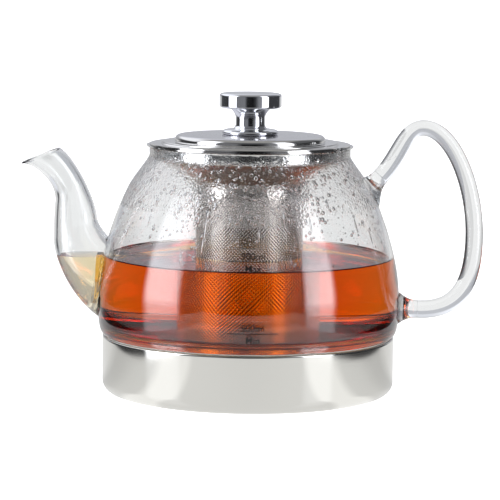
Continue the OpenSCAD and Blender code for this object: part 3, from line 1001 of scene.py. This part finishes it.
# The table's glow by azimuth, as shares of half a turn from the front: brightest where the softboxes
# light it, and falling off beside the pot
TABLE_GLOW = [
    (0, 0.96), (0.2, 1.0), (0.225, 1.28), (0.32, 1.28), (0.36, 0.95), (0.44, 0.9), (0.52, 0.76), (0.58, 0.72),
    (0.66, 0.92), (1, 0.95)]
TABLE_PEAK = 1.3
BACKDROP_GLOW = 0.76
PAPER_GLOW = 0.86
# How much of the lit floor is its own glow: the rest is polish
LIT_SHARE = 0.95
FLOOR_SIZE = 12


def azimuth_share(tree, side, front, turn, start=0.0):
    """The angle from the front towards side as a share of turn, counted on from start."""
    angle = add(tree, "ShaderNodeMath", {0: side, 1: front}, operation="ARCTAN2")
    share = add(tree, "ShaderNodeMath", {
        0: angle.outputs[0], 1: 1 / turn, 2: start}, operation="MULTIPLY_ADD")
    return share.outputs[0]


def grey_ramp(tree, share, stops, tint=(1, 1, 1)):
    """Greys, each times tint, along share, given as (share, grey) stops."""
    ramp = add(tree, "ShaderNodeValToRGB", {"Fac": share})
    made = ramp.color_ramp.elements
    while len(made) < len(stops):
        made.new(0.5)
    for stop, (position, value) in zip(made, stops):
        stop.position = position
        stop.color = (value * tint[0], value * tint[1], value * tint[2], 1)
    return ramp.outputs["Color"]


def add_floor():
    """White paper to look at. Reflections see a lit table, polished floor round it and lit floor behind."""
    made, tree = new_material("floor_paper")
    fibre = noise(tree, (1, 1, 1), 1 / 3, 2.0)
    shade = add(tree, "ShaderNodeMix", {
        "Factor": fibre.outputs[0], "A": colour("#FAFAFA"), "B": colour("#FFFFFF")}, data_type="RGBA")
    paper = add(tree, "ShaderNodeBsdfPrincipled", {
        "Base Color": shade.outputs["Result"], "Roughness": 0.9, "Emission Color": colour("#FFFFFF"),
        "Emission Strength": PAPER_GLOW})
    spot = add(tree, "ShaderNodeTexCoord").outputs["Object"]
    axes = add(tree, "ShaderNodeSeparateXYZ", {0: spot})
    side = add(tree, "ShaderNodeMath", {0: axes.outputs["X"]}, operation="ABSOLUTE")
    front = add(tree, "ShaderNodeMath", {0: axes.outputs["Y"], 1: -1.0}, operation="MULTIPLY")
    turn = azimuth_share(tree, side.outputs[0], front.outputs[0], math.pi)
    reach = add(tree, "ShaderNodeVectorMath", {0: spot}, operation="LENGTH")
    # 1 at the table's edge, less on it and more beyond
    side = add(tree, "ShaderNodeMath", {0: side.outputs[0], 1: TABLE_SIDE}, operation="DIVIDE")
    front = add(tree, "ShaderNodeMath", {0: front.outputs[0], 1: TABLE_FRONT}, operation="DIVIDE")
    edge = add(tree, "ShaderNodeMath", {0: side.outputs[0], 1: front.outputs[0]}, operation="MAXIMUM")
    near = add(tree, "ShaderNodeMapRange", {
        "Value": edge.outputs[0], "From Min": 0.98, "From Max": 1.02, "To Min": 1.0, "To Max": 0.0})
    back = add(tree, "ShaderNodeMapRange", {"Value": turn, "From Min": 0.72, "From Max": 0.8})
    lit = add(tree, "ShaderNodeMath", {0: near.outputs[0], 1: back.outputs[0]}, operation="MAXIMUM")
    lit = add(tree, "ShaderNodeMath", {0: lit.outputs[0], 1: LIT_SHARE}, operation="MULTIPLY")
    table_glow = grey_ramp(tree, turn, [(at, value / TABLE_PEAK) for at, value in TABLE_GLOW])
    strength = add(tree, "ShaderNodeMix", {
        "Factor": near.outputs[0], "A": (BACKDROP_GLOW / TABLE_PEAK,) * 3 + (1,), "B": table_glow},
        data_type="RGBA")
    glow = add(tree, "ShaderNodeEmission", {"Color": strength.outputs["Result"], "Strength": TABLE_PEAK})
    shine = add(tree, "ShaderNodeMapRange", {
        "Value": reach.outputs["Value"], "From Min": 0.45, "From Max": 0.8, "To Min": 0.6, "To Max": 1.0})
    polish = add(tree, "ShaderNodeBsdfGlossy", {"Color": shine.outputs[0], "Roughness": 0.02})
    mirrored = add(tree, "ShaderNodeMixShader", {
        0: lit.outputs[0], 1: polish.outputs[0], 2: glow.outputs[0]})
    sight = add(tree, "ShaderNodeLightPath")
    both = add(tree, "ShaderNodeMixShader", {
        0: sight.outputs["Is Camera Ray"], 1: mirrored.outputs[0], 2: paper.outputs[0]})
    output(tree, both.outputs[0])
    bm = bmesh.new()
    bmesh.ops.create_grid(bm, x_segments=1, y_segments=1, size=FLOOR_SIZE)
    finish_mesh(bm, "floor", made)


SOFTBOX_DISTANCE = 1.5
SOFTBOX_HEIGHT = 0.45
SOFTBOX_TALL = 1.3
SOFTBOX_POWER = 2


def softbox(name, azimuth, width):
    """A tall soft light at an azimuth from the front, aimed at the middle of the object."""
    data = bpy.data.lights.new(name, "AREA")
    data.shape = "RECTANGLE"
    data.size = width
    data.size_y = SOFTBOX_TALL
    data.energy = SOFTBOX_POWER
    lamp = bpy.data.objects.new(name, data)
    bpy.context.scene.collection.objects.link(lamp)
    a = math.radians(azimuth)
    lamp.location = (SOFTBOX_DISTANCE * math.sin(a), -SOFTBOX_DISTANCE * math.cos(a), SOFTBOX_HEIGHT)
    lamp.rotation_euler = (Vector((0, 0, 0.07)) - lamp.location).to_track_quat("-Z", "Y").to_euler()


# Brightness of the room by azimuth in degrees from the front, minus to the left: a dark gap in front,
# grey, the two softboxes, dark flags behind them and a pale backdrop. The softboxes are brightest low down
LOW_ROOM = [
    (-180, 0.55), (-146, 0.45), (-132, 0.08), (-88, 0.04), (-84, 5), (-57, 5), (-53, 0.2), (-22, 0.22),
    (-12, 0.02), (10, 0.01), (20, 0.06), (32, 0.26), (43, 0.3), (46, 4.6), (67, 4.6), (71, 0.05),
    (132, 0.06), (146, 0.45), (180, 0.55)]
HIGH_ROOM = [
    (-180, 0.8), (-146, 1.3), (-100, 1.3), (-88, 0.5), (-84, 2.6), (-56, 2.6), (-52, 0.25), (-10, 0.12),
    (20, 0.12), (43, 0.3), (46, 2.2), (67, 2.2), (71, 0.12), (132, 0.15), (146, 0.6), (180, 0.8)]
ROOM_PEAK = 5.0
ROOM_TINT = (0.96, 0.98, 1.05)
OVERHEAD = 0.4


def room_ramp(tree, turn, stops):
    """The room's greys along turn, a share of a whole turn, scaled so that none passes 1."""
    shares = [(degrees / 360 + 0.5, value / ROOM_PEAK) for degrees, value in stops]
    return grey_ramp(tree, turn, shares, ROOM_TINT)


def add_world():
    """White to look at. Reflections see the room: one ramp near the horizon, one higher, grey overhead."""
    world = bpy.data.worlds.new("studio")
    bpy.context.scene.world = world
    world.use_nodes = True
    tree = world.node_tree
    tree.nodes.clear()
    axes = add(tree, "ShaderNodeSeparateXYZ", {0: add(tree, "ShaderNodeTexCoord").outputs["Generated"]})
    up = axes.outputs["Z"]
    front = add(tree, "ShaderNodeMath", {0: axes.outputs["Y"], 1: -1.0}, operation="MULTIPLY")
    turn = azimuth_share(tree, axes.outputs["X"], front.outputs[0], math.tau, 0.5)
    low = room_ramp(tree, turn, LOW_ROOM)
    high = room_ramp(tree, turn, HIGH_ROOM)
    rise = add(tree, "ShaderNodeMapRange", {"Value": up, "From Min": 0.22, "From Max": 0.36})
    room = add(tree, "ShaderNodeMix", {"Factor": rise.outputs[0], "A": low, "B": high}, data_type="RGBA")
    over = add(tree, "ShaderNodeMapRange", {"Value": up, "From Min": 0.7, "From Max": 0.85})
    room = add(tree, "ShaderNodeMix", {
        "Factor": over.outputs[0], "A": room.outputs["Result"], "B": (OVERHEAD / ROOM_PEAK,) * 3 + (1,)},
        data_type="RGBA")
    sight = add(tree, "ShaderNodeLightPath")
    seen = add(tree, "ShaderNodeMix", {
        "Factor": sight.outputs["Is Camera Ray"], "A": room.outputs["Result"], "B": (1, 1, 1, 1)},
        data_type="RGBA")
    shade = add(tree, "ShaderNodeBackground", {"Color": seen.outputs["Result"], "Strength": ROOM_PEAK})
    add(tree, "ShaderNodeOutputWorld", {"Surface": shade.outputs[0]})


def add_light():
    """The room, two soft lights where its softboxes are, and enough bounces for glass behind glass."""
    add_world()
    softbox("softbox_left", -70, 0.60)
    softbox("softbox_right", 57, 0.50)
    scene = bpy.context.scene
    scene.view_settings.view_transform = "Standard"
    scene.cycles.max_bounces = 28
    scene.cycles.transmission_bounces = 26
    scene.cycles.glossy_bounces = 8
    scene.cycles.transparent_max_bounces = 16


# ---- the CAD nodes that keep their own shape ----

PLAIN_NODES = {
    "heat_spreader": ALUMINIUM,
    "induction_plate": PLATE_STEEL,
    "lid_plug": POLISHED_STEEL,
    "lid_seal": SILICONE,
    "knob_screw": FASTENER,
    "screw_washer": FASTENER}


def repaint(node, material):
    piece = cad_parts[node]
    piece.data.materials.clear()
    piece.data.materials.append(material)


def main():
    make_glass_body()
    make_spout()
    make_handle()
    make_weld("handle_weld_upper_fused", "handle_weld_upper", HANDLE_START, -1)
    make_weld("handle_weld_lower_fused", "handle_weld_lower", HANDLE_END, 1)
    make_base()
    make_base_seal()
    make_fill_marks()
    make_flange()
    make_sleeve()
    make_infuser_bottom()
    make_lid_cover()
    make_knob()
    make_knob_collar()
    make_tea()
    make_spout_tea()
    make_drops("condensation_fine", FINE_DROPS, [], 6, SEED)
    make_drops("condensation_beads", LARGE_DROPS, RUNS, 10, SEED + 1)
    for node, material in PLAIN_NODES.items():
        repaint(node, material)
    add_floor()
    add_light()


main()

bpy.context.view_layer.update()
